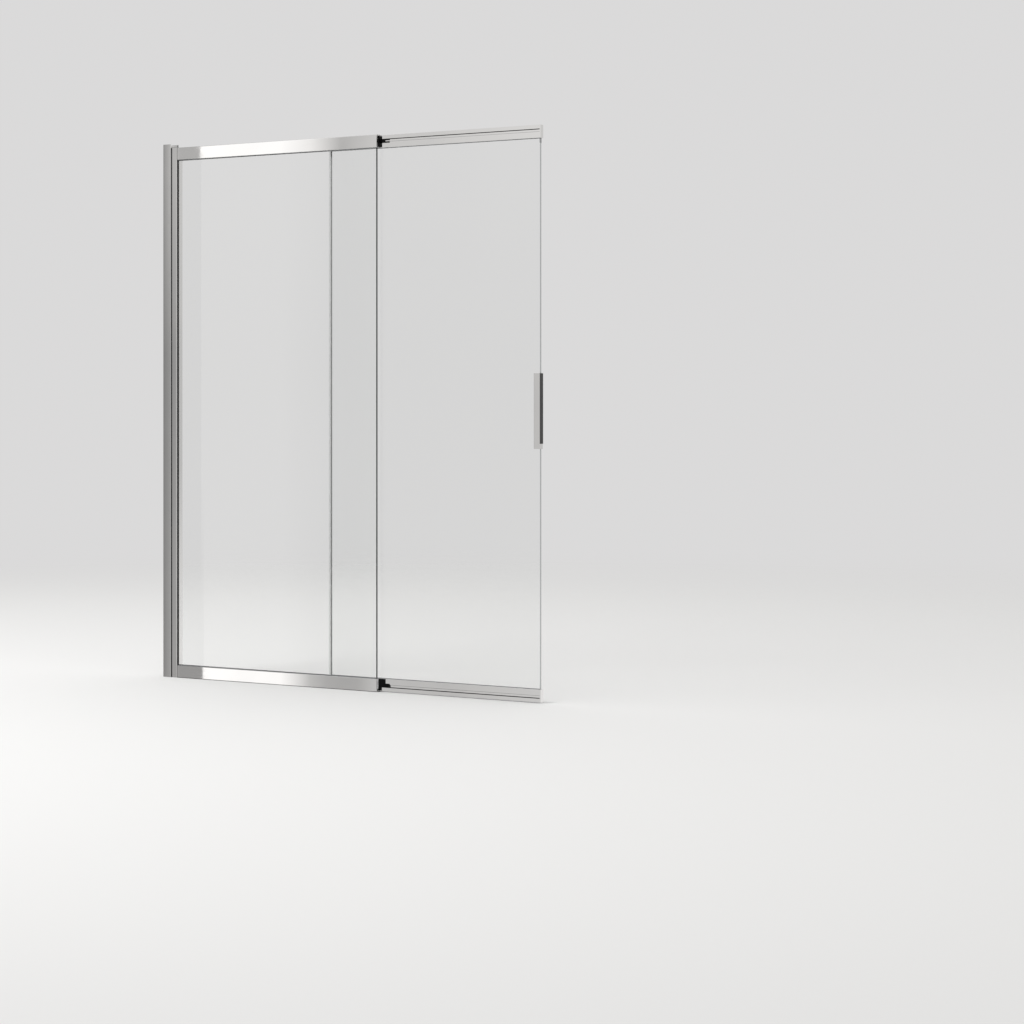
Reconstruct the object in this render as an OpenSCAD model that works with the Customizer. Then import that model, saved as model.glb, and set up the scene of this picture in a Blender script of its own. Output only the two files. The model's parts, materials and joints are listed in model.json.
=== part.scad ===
// Sliding bath screen. A wall channel and an adjusting stile carry a fixed pane between two rails.
// A second pane, in its own slimmer rails, runs on rollers inside them and telescopes along the bath.
// Frame: x runs along the bath from the wall, y goes to the bath side, z goes up from the bath rim.

/* [Overall] */
// Height of the rails, from the bath rim
screen_h = 1390; // [1200:5:1500]
// Distance from the wall to the free end of the fixed rails
fixed_w = 680.5; // [640:0.5:720]
// Distance from the wall to the free end of the sliding rails, fully extended
total_w = 1150; // [1090:0.5:1200]
// Distance from the wall to the inner end of the sliding rails, fully extended
slide_start = 530; // [500:0.5:545]
// Thickness of both panes
pane_t = 6; // [5.6:0.1:6]

/* [Wall channel] */
// How far the wall channel stands above the rails
channel_over = 10; // [2:1:60]
// How far its legs stand out from the wall
channel_leg = 25.1; // [20:0.1:26]
// How far each leg stands proud of the stile's head
channel_step = 1.5; // [1.4:0.1:2]
// Thickness of its legs
channel_wall = 1.4; // [1.2:0.1:1.4]
// Thickness of its back, against the wall
channel_back = 2; // [1.6:0.1:2.6]
// Diameter of its wall screw holes
wall_hole_d = 5.2; // [4.2:0.1:6]
// Spacing of its four wall screw holes
wall_hole_pitch = 400; // [300:10:420]

/* [Stile] */
// Where the stile's wide head starts
head_x = 27.5; // [27.2:0.1:30]
// Where the stile ends and the rails start
stile_x = 44.4; // [42:0.1:47]
// How far the head stands proud of the rails on each side
head_step = 0.4; // [0:0.1:0.8]
// Radius of the head's outside corners
head_r = 1.6; // [1:0.1:2]
// Thickness of the stile's walls
stile_wall = 1.4; // [1.2:0.1:1.4]
// How far the tail's legs stop short of the channel's back
tail_in = 4; // [3:0.5:8]
// Gap between the tail and a leg of the channel
tail_gap = 0.6; // [0.5:0.1:0.8]
// How far the pane's gasket reaches past the stile
gasket_out = 0.8; // [0.6:0.1:4]
// Thickness of the gasket behind the pane's edge
gasket_base = 1.6; // [1:0.1:3]

/* [Fixed rails] */
// Height of each fixed rail
rail_h = 32.4; // [32.4:0.1:36]
// Thickness of the rail's face
face_wall = 1.5; // [1.2:0.1:1.8]
// Width of the pocket that holds the fixed pane
pocket_w = 8.9; // [8:0.1:9]
// Thickness of the rail's outer web
web_t = 1.2; // [1.1:0.1:1.4]
// Thickness of the rail's partition and back wall
inner_wall = 1.2; // [1:0.1:1.2]
// How deep the fixed pane stands in each rail
pane_hold = 18; // [12:0.5:19]
// How far the fixed pane stops short of the rails' free end, which is the length of the pocket plugs
pane_short = 3; // [2:0.5:5]
// How far the beads of the panes' seals stand out of the rails
bead = 0.9; // [0.4:0.1:1.2]
// Width of a drain slot in the lower rail
drain_w = 24; // [12:1:30]
// Height of a drain slot
drain_h = 4; // [3:0.5:6]
// Spacing of the three drain slots
drain_pitch = 210; // [150:5:220]

/* [Sliding rails] */
// Height of each sliding rail
slide_h = 31.6; // [31.2:0.1:33]
// Depth of each sliding rail
slide_depth = 12.4; // [12:0.1:12.6]
// Running gap between a sliding rail and the rail around it
run_gap = 0.4; // [0.4:0.1:0.6]
// Thickness of the walls round the rail's hollow
slide_wall = 1.4; // [1.2:0.1:1.6]
// Width of the roller channel
track_w = 7; // [6.8:0.1:7.2]
// Depth of the roller channel
track_h = 8.2; // [8:0.1:8.4]
// Distance from the rail's outer edge to its face groove
groove_z = 9.4; // [9.2:0.1:9.8]
// Height of the face groove
groove_h = 10.5; // [10:0.1:11]
// Depth of the face groove
groove_d = 3; // [2.6:0.1:3.2]
// Height of the undercut along the groove's outer side
undercut_h = 1.6; // [1:0.1:2]
// Depth of that undercut, from the face
undercut_d = 4.2; // [4:0.1:4.4]
// Depth of the pocket that holds the sliding pane
slide_pocket = 10; // [9:0.1:10]
// How deep the sliding pane stands in each rail
slide_hold = 8.5; // [6:0.5:8.5]
// How far the sliding pane stops short of the rails' free end
slide_short = 3.5; // [3:0.1:5]
// Thickness of an end cap
cap_t = 2.6; // [1.5:0.1:3]

/* [Rollers] */
// Diameter of a roller
roller_d = 8.2; // [7.8:0.1:8.2]
// Width of a roller
roller_w = 3.6; // [3:0.1:3.8]
// Diameter of a roller's axle
axle_d = 2.5; // [2:0.1:3]
// Radial clearance between a roller and its axle
axle_gap = 0.05; // [0.02:0.01:0.1]
// Clearance between a roller and its track
roll_gap = 0.2; // [0.1:0.05:0.2]
// Distance from the end of the fixed rails back to their roller
fixed_roller_in = 20; // [18:1:26]
// Distance from the inner end of the sliding rails to their roller
slide_roller_in = 12; // [12:1:16]
// Length of a roller block
block_w = 20; // [19:0.5:22]

/* [Guides and stops] */
// How far the upper guide's collar stands out of the fixed rail
collar_out = 5.2; // [4.6:0.1:8]
// Height of the upper guide's collar
collar_h = 27.6; // [24:0.1:28]
// Distance from the rail's top to the upper guide's collar
collar_in = 3.7; // [2.4:0.1:5]
// How far the foot of the lower guide's collar stands out of the fixed rail
lower_foot_out = 5.6; // [4.6:0.1:10]
// How far the rest of the lower guide's collar stands out
lower_collar_out = 17; // [12:0.5:22]
// Height of the lower guide's collar with its foot
lower_collar_h = 28.6; // [24:0.1:29]
// Distance from the rim to the foot of the lower guide's collar
lower_collar_in = 3.6; // [2.4:0.1:5]
// Distance from the fixed rail's face back to the lower guide's collar
lower_collar_back = 8.3; // [7:0.1:8.6]
// Distance from the fixed rail's face back to the upper guide's collar
collar_back = 6.4; // [5:0.1:8]
// Distance from the fixed rail's face back to the root of the upper guide's finger
root_back = 3.1; // [2:0.1:4]
// How far a guide's finger stands out of the fixed rail
finger_out = 28; // [26:0.5:36]
// How far a guide's finger reaches back inside the fixed rail
finger_in = 30; // [26:0.5:36]
// Gap between a finger and each side of its groove
finger_gap = 0.5; // [0.3:0.1:0.8]
// Gap between a guide and the face of the sliding rail
guide_gap = 0.3; // [0.2:0.1:0.5]
// Length of a stop block
stop_w = 10; // [8:0.5:14]
// Gap left at each end stop
stop_gap = 0.3; // [0.2:0.1:0.5]

/* [Handle] */
// Height of the handle
handle_h = 182; // [120:1:240]
// Height of its lower end above the bath rim
handle_z = 610; // [500:1:700]
// Width of the handle along the pane
handle_w = 17; // [15:0.5:24]
// Depth of the handle from face to back
handle_t = 14.4; // [12.8:0.1:15]
// Thickness of its wall over the pane's edge
handle_wall = 1.2; // [1:0.1:2]
// Thickness of its liner
liner_t = 0.6; // [0.4:0.1:1]
// Thickness of the buffer strip on its end face
bumper_t = 1; // [0.6:0.1:2]
// Length of its end face that the buffer strip leaves bare
bumper_short = 12.5; // [0:0.5:20]

/* [Hidden] */
$fn = 48;

chrome = "#c9cdd2";
black = "#1a1b1d";
steel = "#9aa0a6";
clear = [0.86, 0.93, 0.91, 0.35];
pale = "#d9dddc";
grey = "#55585a";

eps = 1;
corner_r = 1;
// Radial clearance of a screw or axle in its hole
seat = 0.05;

// Depths of the fixed rail, counted from its face
rail_depth = face_wall + pocket_w + 2 * inner_wall + slide_depth + 2 * run_gap;
y_face = -rail_depth / 2;
y_back = rail_depth / 2;
pocket_y0 = y_face + face_wall;
pocket_y1 = pocket_y0 + pocket_w;
part_y1 = pocket_y1 + inner_wall;
chamber_y1 = y_back - inner_wall;
pane_y = (pocket_y0 + pocket_y1) / 2;
slide_y = (part_y1 + chamber_y1) / 2;

// Half depths of the stile and the wall channel, and the stile's pocket
head_half = rail_depth / 2 + head_step;
channel_h = screen_h + channel_over;
channel_half = head_half + channel_step;
leg_y = channel_half - channel_wall;
tail_half = leg_y - tail_gap;
gasket_x0 = head_x + stile_wall;
gasket_y0 = -head_half + stile_wall;
gasket_y1 = 2 * pane_y - gasket_y0;

// Heights of the sliding rail, counted from the bath rim
slide_z = web_t + run_gap;
slide_top = slide_z + slide_h;
track_top = slide_z + track_h;
groove_z0 = slide_z + groove_z;
groove_z1 = groove_z0 + groove_h;
clamp_wall = 2.2;
slide_face = slide_y - slide_depth / 2;
groove_floor = slide_face + groove_d;

// Panes and the seals under them
fixed_pane_x0 = gasket_x0 + gasket_base;
fixed_pane_x1 = fixed_w - pane_short;
fixed_pane_z = rail_h - pane_hold;
seal_base = 1.5;
slide_pane_x0 = slide_start + 1;
slide_pane_x1 = total_w - slide_short;
slide_pane_z = slide_top - slide_hold;

// End caps, guides and stops
slide_end = total_w - cap_t;
tongue_in = 10;
tongue_gap = 0.1;
finger_z0 = groove_z0 + finger_gap;
finger_z1 = groove_z1 - finger_gap;
finger_mid = (finger_z0 + finger_z1) / 2;
finger_y1 = groove_floor - 2 * guide_gap;
finger_tip = fixed_w + finger_out;
finger_screw_x = fixed_w - 0.6 * finger_in;
root_w = 4;
collar_r = 1.2;
fork_w = 3.2;
fork_len = 12;
collar_y1 = slide_face - guide_gap;
stop_x1 = fixed_w - finger_in - stop_gap;
stop_x = stop_x1 - stop_w / 2;
stop_y = slide_face + guide_gap;

// Rollers and their blocks
fixed_roller_x = fixed_w - fixed_roller_in;
fixed_roller_z = track_top - roll_gap - roller_d / 2;
slide_roller_x = slide_start + slide_roller_in;
slide_roller_z = web_t + roll_gap + roller_d / 2;
slot_w = roller_d + 1;
slot_d = roller_w + 0.4;
cradle_w = track_w - run_gap;
cradle_top_z = track_top - 0.8;
cradle_screw_x = [fixed_roller_x - 7.5, fixed_roller_x + 7.5];
carriage_w = track_w - 0.2;
carriage_x = slide_start + 1;
carriage_z = slide_z + 0.4;
carriage_screw_x = slide_roller_x + 7;

// Small countersunk screws
thread_d = 2.9;
screw_head_d = 5.4;
csk_t = 1.1;
screw_bite = 1.4;

// Screw ports in the rails and the long screws in them
port_z = web_t + 3.2;
port_d = 7.2;
port_slit = 1.8;
port_screw_d = 4;
port_head_d = 7;
port_head_t = 2.6;
port_grip = 20;

// Screws that lock the stile in the channel, and their covers
lock_x = 14;
lock_in = 150;
lock_z = [lock_in, screen_h / 2, screen_h - lock_in];
lock_d = 4;
lock_len = 9;
lock_head_d = 7.5;
lock_head_t = 2.4;
cover_d = 11;
cover_t = 3.4;
cover_gap = 0.1;

// Wipers beside the stile
wiper_in = 5;
wiper_gap = 0.1;
wiper_step = 0.5;

// Handle and its grub screws
handle_x1 = slide_pane_x1 + liner_t + handle_wall;
handle_x0 = handle_x1 - handle_w;
slot_y = pane_t / 2 + liner_t;
grub_in = 40;
grub_x = handle_x0 + 8;
grub_z = [handle_z + grub_in, handle_z + handle_h - grub_in];
grub_d = 4;
grub_short = 0.2;

// Buffer on the pane's free edge
buffer_h = 11.5;
buffer_lap = 1;
buffer_side = 0.5;
buffer_t = 0.6;

// Rectangle between two opposite corners
module plate(p, q) {
    translate(p) square(q - p);
}

// Rectangle between two opposite corners, with round corners
module rounded(p, q, r) {
    plate(p + [r, 0], q - [r, 0]);
    plate(p + [0, r], q - [0, r]);
    for (x = [p[0] + r, q[0] - r])
        for (y = [p[1] + r, q[1] - r])
            translate([x, y]) circle(r);
}

// Extrudes an outline drawn in y and z along x
module along_x(x0, x1) {
    translate([x0, 0, 0]) rotate([90, 0, 90]) linear_extrude(x1 - x0) children();
}

// Extrudes an outline drawn in x and z along y
module along_y(y0, y1) {
    translate([0, y1, 0]) rotate([90, 0, 0]) linear_extrude(y1 - y0) children();
}

// Extrudes an outline drawn in x and y along z
module along_z(z0, z1) {
    translate([0, 0, z0]) linear_extrude(z1 - z0) children();
}

// Mirrors what is drawn at the rim up to the top of the screen
module at_top() {
    translate([0, 0, screen_h]) mirror([0, 0, 1]) children();
}

// Both ends of the screen, rim and top
module both_ends() {
    children();
    at_top() children();
}

// Hexagon socket sunk in the end of a screw that lies at z = 0
module socket(across, depth) {
    translate([0, 0, -depth]) cylinder(h = depth + eps, d = across, $fn = 6);
}

// Countersunk screw with its head's face at z = 0 and its shank going up
module csk_screw(len) {
    difference() {
        union() {
            cylinder(h = csk_t, d1 = screw_head_d, d2 = thread_d);
            cylinder(h = len, d = thread_d);
        }
        mirror([0, 0, 1]) socket(screw_head_d / 3, csk_t / 2);
    }
}

// Hole for that screw
module csk_hole(len) {
    cylinder(h = csk_t, d1 = screw_head_d + 2 * seat, d2 = thread_d + 2 * seat);
    cylinder(h = len, d = thread_d + 2 * seat);
    translate([0, 0, -eps]) cylinder(h = eps, d = screw_head_d + 2 * seat);
}

// Holes for the screws that lock the stile, through whatever lies on the bath side
module lock_holes() {
    for (z = lock_z)
        translate([lock_x, 0, z])
            rotate([-90, 0, 0]) cylinder(h = channel_half + eps, d = lock_d + 2 * seat);
}

// Wall channel and its wipers

// Open channel, with its outside corners rounded
module channel_section() {
    difference() {
        rounded([0, -channel_half], [channel_leg, channel_half], corner_r);
        plate([channel_back, -leg_y], [channel_leg + eps, leg_y]);
    }
}

module wall_channel() {
    color(chrome)
        difference() {
            along_z(0, channel_h) channel_section();
            for (k = [-1.5:1.5])
                translate([-eps, 0, channel_h / 2 + k * wall_hole_pitch])
                    rotate([0, 90, 0]) cylinder(h = channel_back + 2 * eps, d = wall_hole_d);
            lock_holes();
        }
}

// Black strip that closes the slot between a leg of the channel and the stile: a tongue between the
// two, and a lip over the end of the leg
module wiper(lip_h) {
    lip_end = [head_x - wiper_gap, channel_half - wiper_step];
    color(black) {
        along_z(0, screen_h) {
            plate([channel_leg - wiper_in, tail_half], [head_x - wiper_gap, leg_y]);
            plate([channel_leg, tail_half], lip_end);
        }
        along_z(0, lip_h) plate([channel_leg, leg_y], lip_end);
    }
}

module channel_wiper_front() {
    mirror([0, 1, 0]) wiper(screen_h);
}

module channel_wiper_rear() {
    wiper(channel_h);
}

// Stile: a tail that slides in the channel to take up an uneven wall, and a head that holds the pane

module stile_section() {
    difference() {
        union() {
            plate([channel_back + tail_in, -tail_half], [gasket_x0, tail_half]);
            rounded([head_x, -head_half], [stile_x, head_half], head_r);
        }
        plate([0, -tail_half + stile_wall], [head_x, tail_half - stile_wall]);
        plate([gasket_x0, gasket_y0], [stile_x + eps, gasket_y1]);
        plate([gasket_x0, gasket_y1 + stile_wall], [stile_x - stile_wall, head_half - stile_wall]);
    }
}

module stile() {
    color(chrome)
        difference() {
            along_z(0, screen_h) stile_section();
            lock_holes();
            both_ends()
                translate([head_x - eps, pane_y, port_z])
                    rotate([0, 90, 0])
                        cylinder(h = stile_wall + 2 * eps, d = port_screw_d + 2 * seat);
        }
}

// Black gasket round the upright edge of the fixed pane, held in the stile's pocket
module stile_gasket() {
    lip_r = 0.8;
    color(black)
        along_z(rail_h, screen_h - rail_h)
            difference() {
                union() {
                    plate([gasket_x0, gasket_y0], [stile_x, gasket_y1]);
                    rounded(
                        [stile_x - 2 * lip_r, gasket_y0],
                        [stile_x + gasket_out, gasket_y1], lip_r);
                }
                plate(
                    [fixed_pane_x0, pane_y - pane_t / 2],
                    [stile_x + gasket_out + eps, pane_y + pane_t / 2]);
            }
}

// Screws that lock the stile in the channel, on the bath side
module stile_screws() {
    color(steel)
        for (z = lock_z)
            translate([lock_x, channel_half, z])
                rotate([-90, 0, 0])
                    difference() {
                        union() {
                            cylinder(h = lock_head_t, d = lock_head_d);
                            translate([0, 0, -lock_len])
                                cylinder(h = lock_len + lock_head_t, d = lock_d);
                        }
                        translate([0, 0, lock_head_t]) socket(lock_head_d / 3, lock_head_t / 2);
                    }
}

// Caps pushed over the heads of those screws
module screw_covers() {
    rim_r = 1;
    color(chrome)
        for (z = lock_z)
            translate([lock_x, channel_half, z])
                rotate([-90, 0, 0])
                    difference() {
                        rotate_extrude() {
                            square([cover_d / 2, cover_t - rim_r]);
                            square([cover_d / 2 - rim_r, cover_t]);
                            translate([cover_d / 2 - rim_r, cover_t - rim_r]) circle(rim_r);
                        }
                        translate([0, 0, -eps])
                            cylinder(
                                h = lock_head_t + cover_gap + eps,
                                d = lock_head_d + 2 * cover_gap);
                    }
}

// Long screws from inside the stile into the rails' screw ports
module rail_screws() {
    color(steel)
        both_ends()
            translate([head_x, pane_y, port_z])
                rotate([0, 90, 0]) {
                    translate([0, 0, -port_head_t]) cylinder(h = port_head_t, d = port_head_d);
                    cylinder(h = stile_x + port_grip - head_x, d = port_screw_d);
                }
}

// Fixed rails and pane

// Two open chambers side by side, one for the fixed pane and one for the sliding rail, and a port
module fixed_rail_section() {
    difference() {
        rounded([y_face, 0], [y_back, rail_h], corner_r);
        plate([pocket_y0, web_t], [pocket_y1, rail_h + eps]);
        plate([part_y1, web_t], [chamber_y1, rail_h + eps]);
    }
    difference() {
        translate([pane_y, port_z]) circle(d = port_d);
        translate([pane_y, port_z]) circle(d = port_screw_d + 2 * seat);
        plate([pane_y - port_slit / 2, port_z], [pane_y + port_slit / 2, port_z + port_d]);
    }
}

module fixed_rail() {
    difference() {
        along_x(stile_x, fixed_w) fixed_rail_section();
        for (x = cradle_screw_x)
            translate([x, slide_y, 0]) csk_hole(web_t + eps);
        translate([finger_screw_x, finger_y1, finger_mid])
            rotate([90, 0, 0]) csk_hole(finger_y1 - pocket_y1 + eps);
    }
}

// The lower rail drains into the bath through slots in its back wall
module fixed_rail_bottom() {
    drain_x = (stile_x + fixed_w - drain_w) / 2;
    color(chrome)
        difference() {
            fixed_rail();
            for (k = [-1:1])
                translate([drain_x + k * drain_pitch, chamber_y1 - eps, web_t])
                    cube([drain_w, inner_wall + 2 * eps, drain_h]);
        }
}

module fixed_rail_top() {
    color(chrome) at_top() fixed_rail();
}

module fixed_glass() {
    color(clear)
        translate([fixed_pane_x0, pane_y - pane_t / 2, fixed_pane_z])
            cube([fixed_pane_x1 - fixed_pane_x0, pane_t, screen_h - 2 * fixed_pane_z]);
}

// Two beads of a seal, one on each side of a pane, on a rail whose inner edge is at z
module beads(y, z, width) {
    r = (width - pane_t) / 4;
    for (side = [-1, 1])
        translate([y + side * (width - 2 * r) / 2, z + bead - r]) {
            circle(r);
            plate([-r, r - bead - eps], [r, 0]);
        }
}

// Grey seal round the pane's edge in the rail's pocket
module fixed_seal() {
    color(grey) {
        along_x(stile_x, fixed_pane_x1)
            difference() {
                plate([pocket_y0, fixed_pane_z - seal_base], [pocket_y1, rail_h]);
                plate([pane_y - pane_t / 2, fixed_pane_z], [pane_y + pane_t / 2, rail_h + eps]);
            }
        along_x(stile_x + gasket_out, fixed_pane_x1) beads(pane_y, rail_h, pocket_w);
    }
}

module fixed_seal_bottom() {
    fixed_seal();
}

module fixed_seal_top() {
    at_top() fixed_seal();
}

// Bright plug that closes the pane's pocket at the rail's free end, round the screw port
module pocket_plug() {
    color(chrome)
        along_x(fixed_pane_x1, fixed_w)
            difference() {
                plate([pocket_y0, web_t], [pocket_y1, rail_h]);
                translate([pane_y, port_z]) circle(d = port_d + 2 * seat);
                plate([pane_y - port_d / 2 - seat, web_t - eps], [pane_y + port_d / 2 + seat, port_z]);
            }
}

module pocket_plug_bottom() {
    pocket_plug();
}

module pocket_plug_top() {
    at_top() pocket_plug();
}

// Guides: a collar in front of the sliding rail, and a finger that rides in the rail's face groove
// and has a thick root outside the fixed rail

module finger(root_y) {
    nose = 1.5;
    along_y(root_y, part_y1 + eps)
        rounded([fixed_w, finger_z0], [fixed_w + root_w, finger_z1], collar_r);
    difference() {
        along_y(part_y1, finger_y1)
            polygon([
                [fixed_w - finger_in, finger_z0], [finger_tip - nose, finger_z0],
                [finger_tip, finger_z0 + nose], [finger_tip, finger_z1 - nose],
                [finger_tip - nose, finger_z1], [fixed_w - finger_in, finger_z1],
            ]);
        translate([finger_screw_x, finger_y1, finger_mid])
            rotate([90, 0, 0]) csk_hole(finger_y1 - part_y1 + eps);
    }
}

// Open slot that makes a fork of a finger's free end
module fork_slot() {
    fork_r = fork_w / 2;
    along_y(part_y1 - eps, finger_y1 + eps)
        translate([finger_tip - fork_len, finger_mid]) {
            circle(fork_r);
            plate([0, -fork_r], [fork_len + eps, fork_r]);
        }
}

module guide_bottom() {
    y0 = y_face + lower_collar_back;
    z1 = lower_collar_in + lower_collar_h;
    color(black) {
        finger(y0);
        along_y(y0, collar_y1) {
            rounded([fixed_w, lower_collar_in], [fixed_w + lower_foot_out, z1], collar_r);
            rounded([fixed_w, finger_z0], [fixed_w + lower_collar_out, z1], collar_r);
            polygon([
                [fixed_w + collar_r, finger_z0], [finger_tip, finger_z0],
                [finger_tip, finger_mid], [fixed_w + lower_collar_out, finger_z1],
            ]);
        }
    }
}

module guide_top() {
    color(black)
        at_top() {
            difference() {
                finger(y_face + root_back);
                fork_slot();
            }
            along_y(y_face + collar_back, collar_y1)
                rounded([fixed_w, collar_in], [fixed_w + collar_out, collar_in + collar_h], collar_r);
        }
}

module guide_screws() {
    color(steel)
        both_ends()
            translate([finger_screw_x, finger_y1, finger_mid])
                rotate([90, 0, 0]) csk_screw(finger_y1 - pocket_y1);
}

// Roller blocks: the cradle stands on the fixed rail's web, the carriage hangs in the sliding rail

module roller_slot(x) {
    translate([x - slot_w / 2, slide_y - slot_d / 2, -eps])
        cube([slot_w, slot_d, track_top + 2 * eps]);
}

module axle_hole(x, z) {
    translate([x, slide_y - track_w / 2, z])
        rotate([-90, 0, 0]) cylinder(h = track_w, d = axle_d + 2 * seat);
}

module axle(x, z, len) {
    translate([x, slide_y - len / 2, z]) rotate([-90, 0, 0]) cylinder(h = len, d = axle_d);
}

module cradle() {
    color(black)
        difference() {
            translate([fixed_roller_x - block_w / 2, slide_y - cradle_w / 2, web_t])
                cube([block_w, cradle_w, cradle_top_z - web_t]);
            roller_slot(fixed_roller_x);
            axle_hole(fixed_roller_x, fixed_roller_z);
            for (x = cradle_screw_x)
                translate([x, slide_y, 0]) cylinder(h = track_h, d = thread_d + 2 * seat);
        }
}

module cradle_bottom() {
    cradle();
}

module cradle_top() {
    at_top() cradle();
}

module cradle_screws() {
    color(steel)
        both_ends()
            for (x = cradle_screw_x)
                translate([x, slide_y, 0]) csk_screw(0.8 * track_h);
}

module fixed_axles() {
    color(steel) both_ends() axle(fixed_roller_x, fixed_roller_z, cradle_w);
}

module carriage() {
    color(black)
        difference() {
            translate([carriage_x, slide_y - carriage_w / 2, carriage_z])
                cube([block_w, carriage_w, track_top - carriage_z]);
            roller_slot(slide_roller_x);
            axle_hole(slide_roller_x, slide_roller_z);
            translate([carriage_screw_x, slide_y, carriage_z]) csk_hole(track_h + eps);
        }
}

module carriage_bottom() {
    carriage();
}

module carriage_top() {
    at_top() carriage();
}

module carriage_screws() {
    color(steel)
        both_ends()
            translate([carriage_screw_x, slide_y, carriage_z])
                csk_screw(track_top - carriage_z + screw_bite);
}

module slide_axles() {
    color(steel) both_ends() axle(slide_roller_x, slide_roller_z, carriage_w);
}

// Roller: a hub, a thinner web and a chamfered tyre
module roller(x, z) {
    r = roller_d / 2;
    half = roller_w / 2;
    bore = axle_d / 2 + axle_gap;
    rim = 0.9;
    chamfer = 0.4;
    color(pale)
        translate([x, slide_y, z])
            rotate([90, 0, 0])
                rotate_extrude() {
                    plate([bore, -half], [bore + rim, half]);
                    plate([bore, chamfer - half], [r - chamfer, half - chamfer]);
                    polygon([
                        [r - rim, -half], [r - chamfer, -half], [r, chamfer - half],
                        [r, half - chamfer], [r - chamfer, half], [r - rim, half],
                    ]);
                }
}

module roller_fixed_bottom() {
    roller(fixed_roller_x, fixed_roller_z);
}

module roller_fixed_top() {
    at_top() roller(fixed_roller_x, fixed_roller_z);
}

module roller_slide_bottom() {
    roller(slide_roller_x, slide_roller_z);
}

module roller_slide_top() {
    at_top() roller(slide_roller_x, slide_roller_z);
}

// Sliding rails and pane

// Hollow of the sliding rail, made smaller all round by a fit
module slide_hollow(fit) {
    half = slide_depth / 2;
    plate(
        [-half + undercut_d + slide_wall + fit, track_h + slide_wall + fit],
        [half - slide_wall - fit, slide_h - slide_pocket - slide_wall - fit]);
}

module slide_section() {
    half = slide_depth / 2;
    translate([slide_y, slide_z])
        difference() {
            rounded([-half, 0], [half, slide_h], corner_r / 2);
            plate([-track_w / 2, -eps], [track_w / 2, track_h]);
            plate([-half - eps, groove_z], [-half + groove_d, groove_z + groove_h]);
            plate([-half - eps, groove_z], [-half + undercut_d, groove_z + undercut_h]);
            slide_hollow(0);
            plate([-half + clamp_wall, slide_h - slide_pocket], [half - clamp_wall, slide_h + eps]);
        }
}

module sliding_rail() {
    color(chrome)
        difference() {
            along_x(slide_start, slide_end) slide_section();
            translate([carriage_screw_x, slide_y, track_top - eps])
                cylinder(h = 2 * slide_wall + eps, d = thread_d + 2 * seat);
            translate([stop_x, groove_floor - eps, finger_mid])
                rotate([-90, 0, 0]) cylinder(h = 2 * slide_wall + eps, d = thread_d + 2 * seat);
        }
}

module sliding_rail_bottom() {
    sliding_rail();
}

module sliding_rail_top() {
    at_top() sliding_rail();
}

module sliding_glass() {
    color(clear)
        translate([slide_pane_x0, slide_y - pane_t / 2, slide_pane_z])
            cube([slide_pane_x1 - slide_pane_x0, pane_t, screen_h - 2 * slide_pane_z]);
}

// Grey seal round the sliding pane's edge in its rail
module sliding_seal() {
    half = slide_depth / 2 - clamp_wall;
    color(grey) {
        along_x(slide_pane_x0, slide_end)
            translate([slide_y, 0])
                difference() {
                    plate([-half, slide_top - slide_pocket], [half, slide_top]);
                    plate([-pane_t / 2, slide_pane_z], [pane_t / 2, slide_top + eps]);
                }
        along_x(slide_pane_x0, slide_pane_x1 - buffer_lap)
            beads(slide_y, slide_top, 2 * half);
    }
}

module sliding_seal_bottom() {
    sliding_seal();
}

module sliding_seal_top() {
    at_top() sliding_seal();
}

// Clear fin seal clipped on the inner edge of the sliding pane, which wipes the fixed pane
module overlap_seal() {
    clip_w = 3;
    clip_t = 0.4;
    fin_t = 0.5;
    fin_gap = 0.3;
    a = pane_t / 2 + clip_t;
    fin_end = pane_y + pane_t / 2 + fin_gap;
    color(clear)
        along_z(slide_top + bead, screen_h - slide_top - bead)
            difference() {
                union() {
                    plate([slide_start, slide_y - a], [slide_start + clip_w, slide_y + a]);
                    plate([slide_start, fin_end], [slide_start + fin_t, slide_y]);
                }
                plate(
                    [slide_pane_x0, slide_y - pane_t / 2],
                    [slide_start + clip_w + eps, slide_y + pane_t / 2]);
            }
}

// End cap with two tongues that push into the rail
module end_cap() {
    half = slide_depth / 2;
    color(chrome) {
        along_x(slide_end, total_w)
            translate([slide_y, slide_z]) rounded([-half, 0], [half, slide_h], corner_r / 2);
        along_x(slide_end - tongue_in, slide_end)
            translate([slide_y, slide_z]) {
                plate(
                    [-track_w / 2 + tongue_gap, corner_r / 2],
                    [track_w / 2 - tongue_gap, track_h - tongue_gap]);
                slide_hollow(tongue_gap);
            }
    }
}

module end_cap_bottom() {
    end_cap();
}

module end_cap_top() {
    at_top() end_cap();
}

// Black stop block in the face groove, which meets the guide's finger when the screen is extended
module stop_block() {
    fit = 0.2;
    color(black)
        difference() {
            translate([stop_x1 - stop_w, stop_y, groove_z0 + fit])
                cube([stop_w, groove_floor - stop_y, groove_h - 2 * fit]);
            translate([stop_x, stop_y, finger_mid])
                rotate([-90, 0, 0]) csk_hole(groove_d + eps);
        }
}

module stop_bottom() {
    stop_block();
}

module stop_top() {
    at_top() stop_block();
}

module stop_screws() {
    color(steel)
        both_ends()
            translate([stop_x, stop_y, finger_mid])
                rotate([-90, 0, 0]) csk_screw(groove_floor - stop_y + screw_bite);
}

// Handle: a channel clipped over the free edge of the sliding pane, on a soft liner

module handle_section() {
    side = handle_t / 2;
    lip_r = 1.2;
    edge_r = 0.4;
    difference() {
        union() {
            rounded([handle_x0, slide_y - side], [handle_x1, slide_y + side], lip_r);
            rounded([handle_x1 - 2 * lip_r, slide_y - side], [handle_x1, slide_y + side], edge_r);
        }
        plate([handle_x0 - eps, slide_y - slot_y], [slide_pane_x1 + liner_t, slide_y + slot_y]);
    }
}

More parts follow.
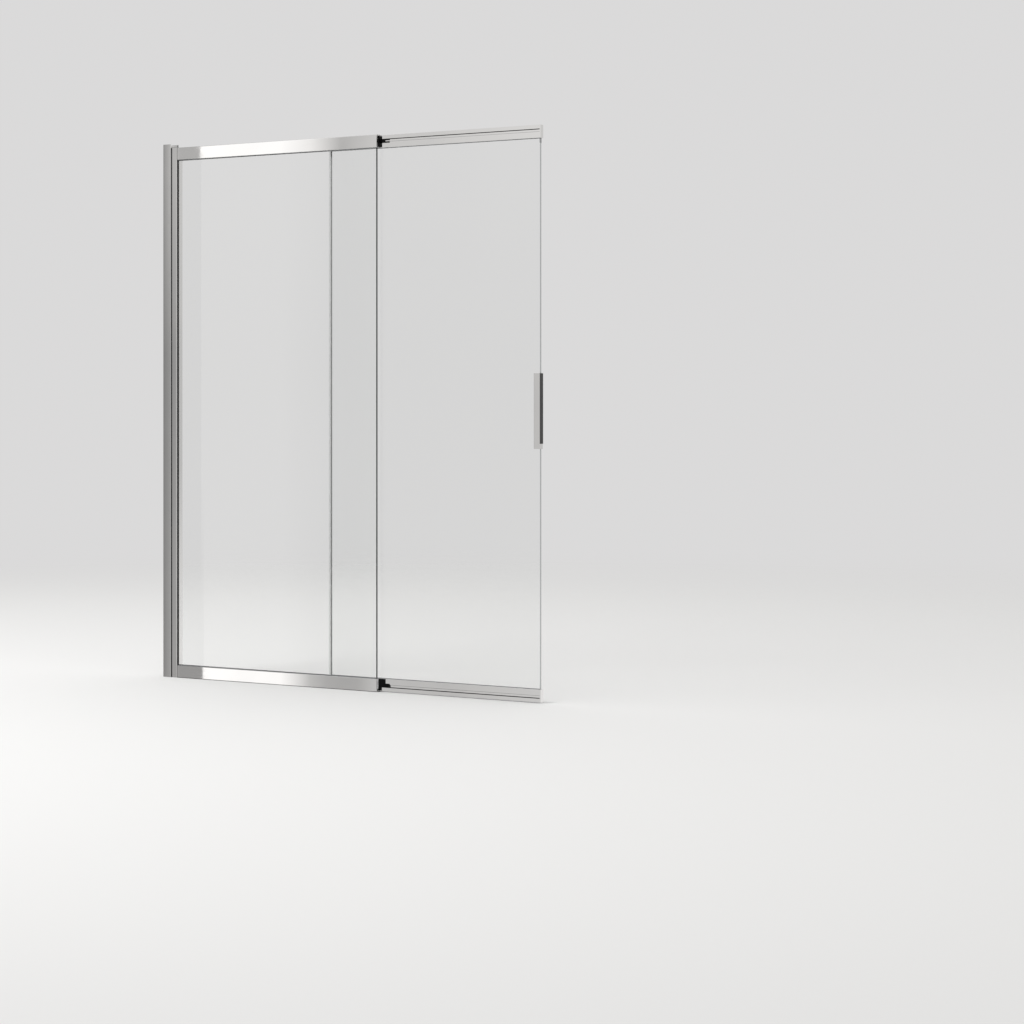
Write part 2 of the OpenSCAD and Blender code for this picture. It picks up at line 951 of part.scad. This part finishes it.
module handle() {
    color(chrome)
        difference() {
            along_z(handle_z, handle_z + handle_h) handle_section();
            for (z = grub_z)
                translate([grub_x, slide_y, z])
                    rotate([-90, 0, 0]) cylinder(h = handle_t, d = grub_d + 2 * seat);
        }
}

// Black strip on the handle's end face, which stops short of its lower end
module handle_bumper() {
    side = handle_t / 2;
    color(black)
        along_z(handle_z + bumper_short, handle_z + handle_h)
            rounded([handle_x1, slide_y - side], [handle_x1 + bumper_t, slide_y + side], bumper_t / 3);
}

module handle_liner() {
    color(black)
        along_z(handle_z, handle_z + handle_h)
            difference() {
                plate([handle_x0 + 1, slide_y - slot_y], [slide_pane_x1 + liner_t, slide_y + slot_y]);
                plate([handle_x0, slide_y - pane_t / 2], [slide_pane_x1, slide_y + pane_t / 2]);
            }
}

module handle_screws() {
    len = handle_t / 2 - slot_y - grub_short;
    color(steel)
        for (z = grub_z)
            translate([grub_x, slide_y + slot_y, z])
                rotate([-90, 0, 0])
                    difference() {
                        cylinder(h = len, d = grub_d);
                        translate([0, 0, len]) socket(grub_d / 2, len / 2);
                    }
}

// Short grey buffer on the pane's free edge, under the upper rail
module edge_buffer() {
    side = pane_t / 2 + buffer_side;
    z1 = screen_h - slide_top;
    color(grey)
        along_z(z1 - buffer_h, z1)
            difference() {
                rounded(
                    [slide_pane_x1 - buffer_lap, slide_y - side],
                    [slide_pane_x1 + buffer_t, slide_y + side], buffer_side / 2);
                plate(
                    [slide_pane_x1 - buffer_lap - eps, slide_y - pane_t / 2],
                    [slide_pane_x1, slide_y + pane_t / 2]);
            }
}

wall_channel();
channel_wiper_front();
channel_wiper_rear();
stile();
stile_gasket();
stile_screws();
screw_covers();
rail_screws();
fixed_rail_bottom();
fixed_rail_top();
fixed_glass();
fixed_seal_bottom();
fixed_seal_top();
pocket_plug_bottom();
pocket_plug_top();
guide_bottom();
guide_top();
guide_screws();
cradle_bottom();
cradle_top();
cradle_screws();
fixed_axles();
sliding_rail_bottom();
sliding_rail_top();
sliding_glass();
sliding_seal_bottom();
sliding_seal_top();
overlap_seal();
end_cap_bottom();
end_cap_top();
edge_buffer();
handle();
handle_bumper();
handle_liner();
handle_screws();
carriage_bottom();
carriage_top();
carriage_screws();
slide_axles();
stop_bottom();
stop_top();
stop_screws();
roller_fixed_bottom();
roller_fixed_top();
roller_slide_bottom();
roller_slide_top();
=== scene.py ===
"""Looks for the sliding bath screen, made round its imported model.

The nodes get their materials and softer edges. A camera, a floor, a light and the cards that the bright
metal mirrors make up the studio. Lengths are in metres.
"""

import json
import math

import bpy
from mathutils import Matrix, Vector

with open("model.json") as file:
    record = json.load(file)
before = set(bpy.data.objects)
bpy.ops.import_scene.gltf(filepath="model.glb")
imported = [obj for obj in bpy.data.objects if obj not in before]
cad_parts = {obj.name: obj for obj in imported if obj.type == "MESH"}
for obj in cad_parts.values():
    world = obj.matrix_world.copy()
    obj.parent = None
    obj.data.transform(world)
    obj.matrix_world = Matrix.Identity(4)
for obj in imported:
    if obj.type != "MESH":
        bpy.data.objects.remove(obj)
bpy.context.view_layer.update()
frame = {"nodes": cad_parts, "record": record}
NODES = frame["nodes"]
scene = bpy.context.scene

# ---------------------------------------------------------------- camera

# The photograph's side, and the focal length and the horizon's row that fit it, in pixels
PHOTO_SIDE = 1024
FOCAL_PX = 2524
HORIZON_ROW = 401.96
CAMERA_AT = (4.2653, -5.1905, 0.7230)
# The camera looks level. Its turn to the left is in degrees, and its sensor's width in millimetres.
CAMERA_TILT = 90
CAMERA_YAW = 31.625
SENSOR = 36.0
CLIP_END = 200


def add_camera():
    data = bpy.data.cameras.new("camera")
    data.sensor_width = SENSOR
    data.lens = FOCAL_PX / PHOTO_SIDE * SENSOR
    data.shift_y = (HORIZON_ROW - PHOTO_SIDE / 2) / PHOTO_SIDE
    data.clip_end = CLIP_END
    cam = bpy.data.objects.new("camera", data)
    cam.location = CAMERA_AT
    cam.rotation_euler = (math.radians(CAMERA_TILT), 0, math.radians(CAMERA_YAW))
    scene.collection.objects.link(cam)
    scene.camera = cam


# ---------------------------------------------------------------- what materials are made with

# Sockets of the Mix node: its factor, and A, B and the result for single values and for colours
MIX_FACTOR = 0
MIX_SOCKETS = {"FLOAT": (2, 3, 0), "RGBA": (6, 7, 2)}
# The part of its range that a noise texture really fills
NOISE_SPAN = (0.3, 0.7)


class Shader:
    """One material with a Principled BSDF and short ways to add what feeds it."""

    def __init__(self, name):
        self.mat = bpy.data.materials.new(name)
        self.mat.use_nodes = True
        self.tree = self.mat.node_tree
        self.bsdf = next(n for n in self.tree.nodes if n.type == "BSDF_PRINCIPLED")
        self.coords = self.add("ShaderNodeTexCoord")

    def add(self, kind, **values):
        node = self.tree.nodes.new(kind)
        for key, value in values.items():
            setattr(node, key, value)
        return node

    def put(self, value, socket):
        """Feeds a socket from a node's output, or gives it a colour or a number."""
        if isinstance(value, bpy.types.NodeSocket):
            self.tree.links.new(value, socket)
        elif isinstance(value, tuple):
            socket.default_value = (*value, 1)
        else:
            socket.default_value = value

    def feed(self, **values):
        """Feeds inputs of the Principled BSDF, named with _ for a space."""
        for key, value in values.items():
            self.put(value, self.bsdf.inputs[key.replace("_", " ")])

    def noise(self, scale, stretch=(1, 1, 1), detail=3.0, rough=0.5):
        place = self.add("ShaderNodeMapping")
        place.inputs["Scale"].default_value = stretch
        self.put(self.coords.outputs["Object"], place.inputs["Vector"])
        node = self.add("ShaderNodeTexNoise")
        node.inputs["Scale"].default_value = scale
        node.inputs["Detail"].default_value = detail
        node.inputs["Roughness"].default_value = rough
        self.put(place.outputs["Vector"], node.inputs["Vector"])
        return node.outputs["Fac"]

    def span(self, value, low, high, source=NOISE_SPAN):
        """The value, moved from its source range to the one from low to high."""
        node = self.add("ShaderNodeMapRange")
        node.inputs["From Min"].default_value = source[0]
        node.inputs["From Max"].default_value = source[1]
        node.inputs["To Min"].default_value = low
        node.inputs["To Max"].default_value = high
        self.put(value, node.inputs["Value"])
        return node.outputs["Result"]

    def mix(self, kind, factor, a, b):
        """From a to b by the factor: single values for FLOAT, colours for RGBA."""
        node = self.add("ShaderNodeMix", data_type=kind)
        socket_a, socket_b, result = MIX_SOCKETS[kind]
        self.put(a, node.inputs[socket_a])
        self.put(b, node.inputs[socket_b])
        self.put(factor, node.inputs[MIX_FACTOR])
        return node.outputs[result]

    def cover(self, mask, under, over):
        """The colour under, with the colour over where the mask is 1."""
        return self.mix("RGBA", mask, under, over)

    def shade(self, noise, a, b):
        """Colour that drifts between a and b with the noise."""
        return self.mix("RGBA", self.span(noise, 0.0, 1.0), a, b)

    def math(self, operation, *values):
        node = self.add("ShaderNodeMath", operation=operation)
        for value, socket in zip(values, node.inputs):
            self.put(value, socket)
        return node.outputs[0]

    def band(self, value, low, high):
        """1 where the value is between low and high, 0 elsewhere."""
        over = self.math("GREATER_THAN", value, low)
        return self.math("MULTIPLY", over, self.math("LESS_THAN", value, high))

    def axes(self, coords):
        """X, Y and Z of the piece's Object coordinates or of its Normal."""
        split = self.add("ShaderNodeSeparateXYZ")
        self.put(self.coords.outputs[coords], split.inputs[0])
        return split.outputs

    def bump(self, height, distance, strength):
        node = self.add("ShaderNodeBump")
        node.inputs["Distance"].default_value = distance
        node.inputs["Strength"].default_value = strength
        self.put(height, node.inputs["Height"])
        return node.outputs["Normal"]


# Painted shade lines along the sliding rails' grooves: the screen's mid-height, the distances of the
# painted dark slot and of a fine painted shade line from it, the depth where the slot starts, and the one
# where the fine line ends
SCREEN_MIDDLE = 0.695
SLOT_NEAR = 0.6823
SLOT_FAR = 0.6841
SLOT_FRONT = -0.0007
LINE_NEAR = 0.6767
LINE_FAR = 0.6777
LINE_BACK = 0.0052
# Where the painted shadow lines end that the fixed rails get at the stile and at the bath
BUTT_SHADOW_END = 0.0456
FOOT_SHADOW_TOP = 0.0014
# Squared part of a face's normal along an axis: where the face starts to count as looking along it, and
# where it counts fully
FACE_SPAN = (0.2, 0.5)
ALONG_X, ALONG_Z = 0, 2


def groove_shade_masks(s):
    """Painted shade masks: 1 in the undercut slot of the sliding rails' face grooves, and 1 on the fine
    shade line beside it.
    """
    _, y, z = s.axes("Object")
    up = s.math("ABSOLUTE", s.math("SUBTRACT", z, SCREEN_MIDDLE))
    slot = s.math("MULTIPLY", s.math("GREATER_THAN", y, SLOT_FRONT), s.band(up, SLOT_NEAR, SLOT_FAR))
    line = s.math("MULTIPLY", s.math("LESS_THAN", y, LINE_BACK), s.band(up, LINE_NEAR, LINE_FAR))
    return slot, line


def painted_shadow_line_mask(s):
    """1 in the painted shadow lines where the fixed rails meet the stile and the bath, 0 elsewhere."""
    x, _, z = s.axes("Object")
    return s.math("MAXIMUM", s.math("LESS_THAN", x, BUTT_SHADOW_END), s.math("LESS_THAN", z, FOOT_SHADOW_TOP))


def face_mask(s, *axes):
    """1 on faces that look along one of these axes of the piece, 0 on the others."""
    normal = s.axes("Normal")
    total, *others = [s.math("POWER", normal[axis], 2.0) for axis in axes]
    for square in others:
        total = s.math("ADD", total, square)
    return s.span(total, 0.0, 1.0, FACE_SPAN)


# ---------------------------------------------------------------- materials

METAL_TONES = (0.765, 0.768, 0.772), (0.80, 0.80, 0.80)
SHADOW_TONE = (0.03, 0.03, 0.031)
FINE_SHADE_LINE_TONE = (0.47, 0.47, 0.472)
# Roughness of polished, sawn and unpolished metal, each from its smoothest to its dullest places
POLISHED = (0.012, 0.04)
SAWN = (0.42, 0.6)
UNPOLISHED = (0.45, 0.6)
# Noise scales: extrusion lines across and along their length, and saw marks
LINES_ACROSS = 260.0
LINES_ALONG = 1.2
SAW_MARKS = (300.0, 300.0, 2500.0)
# Heights of surface grain
LINE_HEIGHT = 0.000004
GRAIN_HEIGHT = 0.00002
WAVE_HEIGHT = 0.0001


def bright_metal(name, along, cut_ends_and_shadow_lines=False, recess=False):
    """Bright polished extrusion: faint lines along its length, a soft polish and a few dull touches. On
    request it adds painted shadow lines at the rails' butts and feet, and painted shade in the sliding
    rails' grooves.
    """
    s = Shader(name)
    stretch = tuple(LINES_ALONG if axis == along else LINES_ACROSS for axis in range(3))
    lines = s.noise(scale=1.0, stretch=stretch, detail=2.0)
    clouds = s.noise(scale=9.0, detail=2.0)
    touches = s.noise(scale=45.0, detail=4.0, rough=0.6)
    tone = s.shade(clouds, *METAL_TONES)
    rough = s.span(touches, *POLISHED)
    if cut_ends_and_shadow_lines:
        # Painted shadow lines: near black across the rail's butt at the stile and along its foot at the
        # bath
        tone = s.cover(painted_shadow_line_mask(s), tone, SHADOW_TONE)
        saw = s.noise(scale=1.0, stretch=SAW_MARKS, detail=2.0)
        rough = s.mix("FLOAT", face_mask(s, along), rough, s.span(saw, *SAWN))
    if recess:
        # Painted shade: the undercut slot near black, and a fine grey shade line beside it
        slot, line = groove_shade_masks(s)
        tone = s.cover(line, tone, FINE_SHADE_LINE_TONE)
        tone = s.cover(slot, tone, SHADOW_TONE)
        rough = s.mix("FLOAT", slot, rough, s.span(touches, *UNPOLISHED))
    s.feed(Metallic=1.0, IOR=1.5, Base_Color=tone, Roughness=rough)
    s.feed(Normal=s.bump(lines, LINE_HEIGHT, strength=0.4))
    return s.mat


def satin(name, metallic, grain, tones, rough):
    """Fine satin skin, on a metal or on a metal-like plastic."""
    s = Shader(name)
    fine = s.noise(grain)
    s.feed(Metallic=metallic, Base_Color=s.shade(fine, *tones), Roughness=s.span(fine, *rough))
    s.feed(Normal=s.bump(fine, GRAIN_HEIGHT, strength=0.4))
    return s.mat


PANE_TONES = (0.95, 0.955, 0.953), (0.958, 0.962, 0.96)
GROUND_EDGE = (0.10, 0.22)
EDGE_TRANSMISSION = 0.08


def glass(name, edge_tone_and_painted_light):
    """Clear toughened pane: faces with a trace of grey, and ground edges in the given tone, partly the
    ground glass's own tone and partly painted light.
    """
    s = Shader(name)
    edge = face_mask(s, ALONG_X, ALONG_Z)
    drift = s.noise(scale=2.0, detail=1.0)
    grind = s.noise(scale=700.0, detail=2.0)
    s.feed(IOR=1.5, Specular_IOR_Level=0.5)
    # The edges' tone carries painted light: painted shade on the fixed pane, painted highlight on the
    # sliding pane
    s.feed(Base_Color=s.cover(edge, s.shade(drift, *PANE_TONES), edge_tone_and_painted_light))
    s.feed(Roughness=s.math("MULTIPLY", edge, s.span(grind, *GROUND_EDGE)))
    s.feed(Transmission_Weight=s.span(edge, 1.0, EDGE_TRANSMISSION, source=(0.0, 1.0)))
    return s.mat


# The darkest tone as a share of the one given, and how far the roughness goes below and above the one given
RUBBER_DARKEST = 0.75
RUBBER_SMOOTHER = 0.06
RUBBER_DULLER = 0.08
VINYL_DARKEST = 0.94
VINYL_DULLER = 0.1


def rubber(name, tone, rough, grain=1200.0, index=1.5):
    """Black rubber or moulded plastic with a fine grain."""
    s = Shader(name)
    fine = s.noise(grain)
    broad = s.noise(scale=14.0, detail=2.0)
    s.feed(IOR=index, Base_Color=s.shade(broad, tuple(t * RUBBER_DARKEST for t in tone), tone))
    s.feed(Roughness=s.span(fine, rough - RUBBER_SMOOTHER, rough + RUBBER_DULLER))
    s.feed(Normal=s.bump(fine, GRAIN_HEIGHT, strength=0.3))
    return s.mat


def vinyl(name, tone, rough, see_through=0.0, index=1.46):
    """Smooth plastic with slightly wavy faces, clear or of one tone."""
    s = Shader(name)
    wave = s.noise(scale=60.0, detail=2.0)
    fine = s.noise(scale=500.0, detail=2.0)
    s.feed(IOR=index, Transmission_Weight=see_through)
    s.feed(Base_Color=s.shade(wave, tuple(t * VINYL_DARKEST for t in tone), tone))
    s.feed(Roughness=s.span(fine, rough, rough + VINYL_DULLER))
    s.feed(Normal=s.bump(wave, WAVE_HEIGHT, strength=0.3))
    return s.mat


MATERIALS = {
    "rails": bright_metal("bright_metal_rails", ALONG_X, cut_ends_and_shadow_lines=True),
    "sliding_rails": bright_metal("bright_metal_sliding_rails", ALONG_X, recess=True),
    "caps": bright_metal("bright_metal_caps", ALONG_X),
    "uprights": bright_metal("bright_metal_uprights", ALONG_Z),
    # Pale satin skin for the lower pocket plug alone: painted light, paler than the upper plug, which is
    # the same part
    "plug": satin(
        "satin_metal_plug_painted_light",
        metallic=0.1,
        grain=700.0,
        tones=((0.92, 0.92, 0.915), (0.97, 0.97, 0.965)),
        rough=(0.5, 0.65),
    ),
    "screws": satin(
        "screw_steel",
        metallic=1.0,
        grain=900.0,
        tones=((0.50, 0.50, 0.51), (0.62, 0.62, 0.62)),
        rough=(0.22, 0.38),
    ),
    # Both panes are one glass: painted shade makes the fixed pane's edges near black, painted light makes
    # the sliding pane's edges pale grey
    "fixed_pane": glass("clear_fixed_pane_shaded_edges", edge_tone_and_painted_light=(0.02, 0.025, 0.025)),
    "sliding_pane": glass("clear_sliding_pane_lit_edges", edge_tone_and_painted_light=(0.52, 0.54, 0.54)),
    "gasket": rubber("black_gasket", (0.015, 0.015, 0.016), rough=0.42, index=1.4),
    "strip": rubber("dark_wiper", (0.05, 0.05, 0.051), rough=0.5),
    "liner": rubber("handle_liner_rubber", (0.016, 0.016, 0.017), rough=0.6),
    "acetal": rubber("black_acetal", (0.004, 0.004, 0.0045), rough=0.4, grain=1800.0, index=1.2),
    "clear_seal": vinyl("clear_vinyl", (0.96, 0.97, 0.965), rough=0.05, see_through=0.85, index=1.12),
    "grey_seal": vinyl("grey_vinyl", (0.20, 0.205, 0.21), rough=0.35),
    "buffer": vinyl("grey_buffer_vinyl", (0.33, 0.335, 0.34), rough=0.35),
    "nylon": vinyl("white_nylon", (0.80, 0.80, 0.79), rough=0.30),
}

# The material of each of the record's slots, and of the nodes that have one of their own
SLOT_MATERIALS = {
    "bright_metal": "rails",
    "black_rubber": "gasket",
    "liner_rubber": "liner",
    "black_plastic": "acetal",
    "steel": "screws",
    "clear_seal": "clear_seal",
    "grey_seal": "grey_seal",
    "nylon": "nylon",
}
NODE_MATERIALS = {
    "wall_channel": "uprights",
    "stile": "uprights",
    "handle": "uprights",
    "screw_covers": "uprights",
    "sliding_rail_bottom": "sliding_rails",
    "sliding_rail_top": "sliding_rails",
    "end_cap_bottom": "caps",
    "end_cap_top": "caps",
    # Painted light: the lower pocket plug alone gets the pale satin, a lit copy of the upper plug
    "pocket_plug_bottom": "plug",
    "fixed_glass": "fixed_pane",
    "sliding_glass": "sliding_pane",
    "channel_wiper_front": "strip",
    "channel_wiper_rear": "strip",
    "handle_bumper": "strip",
    "edge_buffer": "buffer",
}
CLEAR_NODES = ("fixed_glass", "sliding_glass", "overlap_seal")


def add_materials():
    for part in frame["record"]["subparts"]:
        name = part["node"]
        obj = NODES[name]
        mat = MATERIALS[NODE_MATERIALS.get(name) or SLOT_MATERIALS[part["material_slot"]]]
        if not obj.material_slots:
            obj.data.materials.append(mat)
        for slot in obj.material_slots:
            slot.material = mat
    for name in CLEAR_NODES:
        NODES[name].visible_shadow = False


# ---------------------------------------------------------------- softer edges

# The nodes that have their edges rounded, by the width of the rounding
EDGES = {
    0.0001: ("handle_bumper",),
    0.0002: (
        "wall_channel",
        "stile",
        "fixed_rail_bottom",
        "fixed_rail_top",
        "sliding_rail_bottom",
        "sliding_rail_top",
        "pocket_plug_bottom",
        "pocket_plug_top",
        "end_cap_bottom",
        "end_cap_top",
        "handle",
        "stop_bottom",
        "stop_top",
    ),
    0.0003: ("guide_bottom", "guide_top", "carriage_bottom", "carriage_top", "cradle_bottom", "cradle_top"),
    0.0004: ("fixed_glass",),
    0.0007: ("sliding_glass",),
}
EDGE_SEGMENTS = 2
# Edges that turn by less than this many degrees stay as they are
EDGE_ANGLE = 40


def soften_edges():
    for width, names in EDGES.items():
        for name in names:
            mod = NODES[name].modifiers.new("edge", "BEVEL")
            mod.width = width
            mod.segments = EDGE_SEGMENTS
            mod.limit_method = "ANGLE"
            mod.angle_limit = math.radians(EDGE_ANGLE)
            mod.use_clamp_overlap = True
            mod.harden_normals = True


# ---------------------------------------------------------------- floor, light and what the metal mirrors

# The point of the floor under the screen's middle
MIDDLE = Vector((0.57, 0.0, 0.0))
WORLD_TONE = (0.705, 0.70, 0.70)
WORLD_STRENGTH = 1.0
FLOOR_TONE = (0.90, 0.90, 0.89)
FLOOR_SIDE = 40.0
# Distances from the middle at which the floor starts to fade out, and has done so
FADE = (2.2, 6.5)
KEY_AT = (-1.5, -3.0, 4.0)
KEY_AIM = (0.5, 0.0, 0.5)
KEY_SIZE = 2.5
KEY_POWER = 120


def new_mesh(name, material, verts, faces):
    """An object of this mesh at the middle, and the empty node tree of its new material."""
    mesh = bpy.data.meshes.new(name)
    mesh.from_pydata(verts, [], faces)
    obj = bpy.data.objects.new(name, mesh)
    obj.location = MIDDLE
    scene.collection.objects.link(obj)
    mat = bpy.data.materials.new(material)
    mat.use_nodes = True
    mat.node_tree.nodes.clear()
    mesh.materials.append(mat)
    return obj, mat.node_tree


def add_world():
    world = bpy.data.worlds.new("world")
    world.use_nodes = True
    back = next(n for n in world.node_tree.nodes if n.type == "BACKGROUND")
    back.inputs["Color"].default_value = (*WORLD_TONE, 1)
    back.inputs["Strength"].default_value = WORLD_STRENGTH
    scene.world = world


def add_floor():
    """Pale floor that fades out into the plain backdrop far from the object."""
    h = FLOOR_SIDE / 2
    corners = [(-h, -h, 0), (h, -h, 0), (h, h, 0), (-h, h, 0)]
    floor, tree = new_mesh("floor", "floor_paint", corners, [(0, 1, 2, 3)])
    coords = tree.nodes.new("ShaderNodeTexCoord")
    length = tree.nodes.new("ShaderNodeVectorMath")
    length.operation = "LENGTH"
    fade = tree.nodes.new("ShaderNodeMapRange")
    fade.interpolation_type = "SMOOTHERSTEP"
    fade.inputs["From Min"].default_value = FADE[0]
    fade.inputs["From Max"].default_value = FADE[1]
    paint = tree.nodes.new("ShaderNodeBsdfDiffuse")
    paint.inputs["Color"].default_value = (*FLOOR_TONE, 1)
    clear = tree.nodes.new("ShaderNodeBsdfTransparent")
    mix = tree.nodes.new("ShaderNodeMixShader")
    out = tree.nodes.new("ShaderNodeOutputMaterial")
    tree.links.new(coords.outputs["Object"], length.inputs[0])
    tree.links.new(length.outputs["Value"], fade.inputs["Value"])
    tree.links.new(fade.outputs["Result"], mix.inputs[0])
    tree.links.new(paint.outputs[0], mix.inputs[1])
    tree.links.new(clear.outputs[0], mix.inputs[2])
    tree.links.new(mix.outputs[0], out.inputs["Surface"])
    floor.visible_glossy = False


RING_RADIUS = 4.0
CARD_TINT = (1.0, 0.982, 0.962)
# Where a card starts or ends, as a share of a turn round the object from +X towards +Y, and its
# brightness there low down, at half height and high up. Two entries at one share make a hard edge.
CARDS = (
    (0.0000, 0.60, 0.60, 0.60),
    (0.1000, 0.70, 0.62, 0.62),
    (0.1300, 0.95, 0.66, 0.72),
    (0.1700, 0.95, 0.66, 0.72),
    (0.2000, 0.60, 0.60, 0.60),
    (0.3500, 0.60, 0.60, 0.60),
    (0.4200, 0.12, 0.12, 0.12),
    (0.6100, 0.12, 0.12, 0.12),
    (0.6232, 0.30, 0.27, 0.36),
    (0.6242, 0.42, 0.38, 0.57),
    (0.6250, 0.42, 0.37, 0.56),
    (0.6254, 0.40, 0.50, 0.60),
    (0.6256, 0.38, 0.42, 0.53),
    (0.6290, 0.38, 0.42, 0.53),
    (0.6290, 0.38, 1.20, 1.30),
    (0.6294, 0.38, 1.20, 1.30),
    (0.6294, 1.30, 1.20, 1.30),
    (0.6420, 1.25, 1.20, 1.30),
    (0.6450, 0.90, 0.90, 1.14),
    (0.6467, 0.64, 0.80, 1.06),
    (0.6495, 0.52, 0.60, 0.80),
    (0.6519, 0.50, 0.56, 0.56),
    (0.6545, 0.50, 0.58, 0.65),
    (0.6571, 0.64, 0.64, 0.72),
    (0.6700, 0.62, 0.64, 0.76),
    (0.6800, 0.70, 0.64, 0.84),
    (0.6900, 0.80, 0.64, 0.86),
    (0.7600, 0.55, 0.55, 0.55),
    (0.8500, 0.90, 0.90, 0.90),
    (0.9300, 0.45, 0.45, 0.45),
    (1.0000, 0.60, 0.60, 0.60),
)
# Heights of the cards' rows: the brightness each one takes from an entry above, and its share of it
LOW, HALF, HIGH = 1, 2, 3
CARD_ROWS = (
    (-3.00, LOW, 0.60),
    (-0.75, LOW, 0.50),
    (-0.56, LOW, 1.00),
    (-0.30, LOW, 1.00),
    (0.45, HALF, 1.00),
    (0.95, HALF, 1.00),
    (1.62, HIGH, 1.00),
    (1.92, HIGH, 1.00),
    (2.10, HIGH, 1.25),
    (4.50, HIGH, 1.25),
)
# The longest step between two edges of the ring, as a share of a turn
TURN_STEP = 1 / 96


def card_edges():
    """For each card its entries in CARDS, with more of them in between so that the ring is round."""
    cards = []
    for a, b in zip(CARDS, CARDS[1:]):
        if a[0] < b[0]:
            steps = math.ceil((b[0] - a[0]) / TURN_STEP)
            cards.append([tuple(u + (v - u) * i / steps for u, v in zip(a, b)) for i in range(steps + 1)])
    return cards


def add_ring():
    """Plain light and grey cards round the set, seen only in reflections."""
    verts, faces, tones = [], [], []
    rows = len(CARD_ROWS)
    for card in card_edges():
        for i, edge in enumerate(card):
            turn = 2 * math.pi * edge[0]
            if i > 0:
                here = len(verts)
                before = here - rows
                for k in range(rows - 1):
                    faces.append((before + k, here + k, here + k + 1, before + k + 1))
            for z, level, factor in CARD_ROWS:
                verts.append((RING_RADIUS * math.cos(turn), RING_RADIUS * math.sin(turn), z))
                tones.append(edge[level] * factor)
    ring, tree = new_mesh("cards", "card_light", verts, faces)
    ring.data.attributes.new("tone", "FLOAT", "POINT").data.foreach_set("value", tones)
    tone = tree.nodes.new("ShaderNodeAttribute")
    tone.attribute_name = "tone"
    light = tree.nodes.new("ShaderNodeEmission")
    light.inputs["Color"].default_value = (*CARD_TINT, 1)
    out = tree.nodes.new("ShaderNodeOutputMaterial")
    tree.links.new(tone.outputs["Fac"], light.inputs["Strength"])
    tree.links.new(light.outputs[0], out.inputs["Surface"])
    ring.visible_camera = False
    ring.visible_diffuse = False
    ring.visible_transmission = False
    ring.visible_volume_scatter = False
    ring.visible_shadow = False


def add_key_light():
    data = bpy.data.lights.new("key", "AREA")
    data.shape = "SQUARE"
    data.size = KEY_SIZE
    data.energy = KEY_POWER
    lamp = bpy.data.objects.new("key", data)
    lamp.location = KEY_AT
    lamp.rotation_euler = (Vector(KEY_AIM) - Vector(KEY_AT)).to_track_quat("-Z", "Y").to_euler()
    lamp.visible_camera = False
    lamp.visible_glossy = False
    lamp.visible_transmission = False
    scene.collection.objects.link(lamp)


add_camera()
add_materials()
soften_edges()
add_world()
add_floor()
add_ring()
add_key_light()
scene.view_settings.view_transform = "Standard"
scene.view_settings.look = "None"
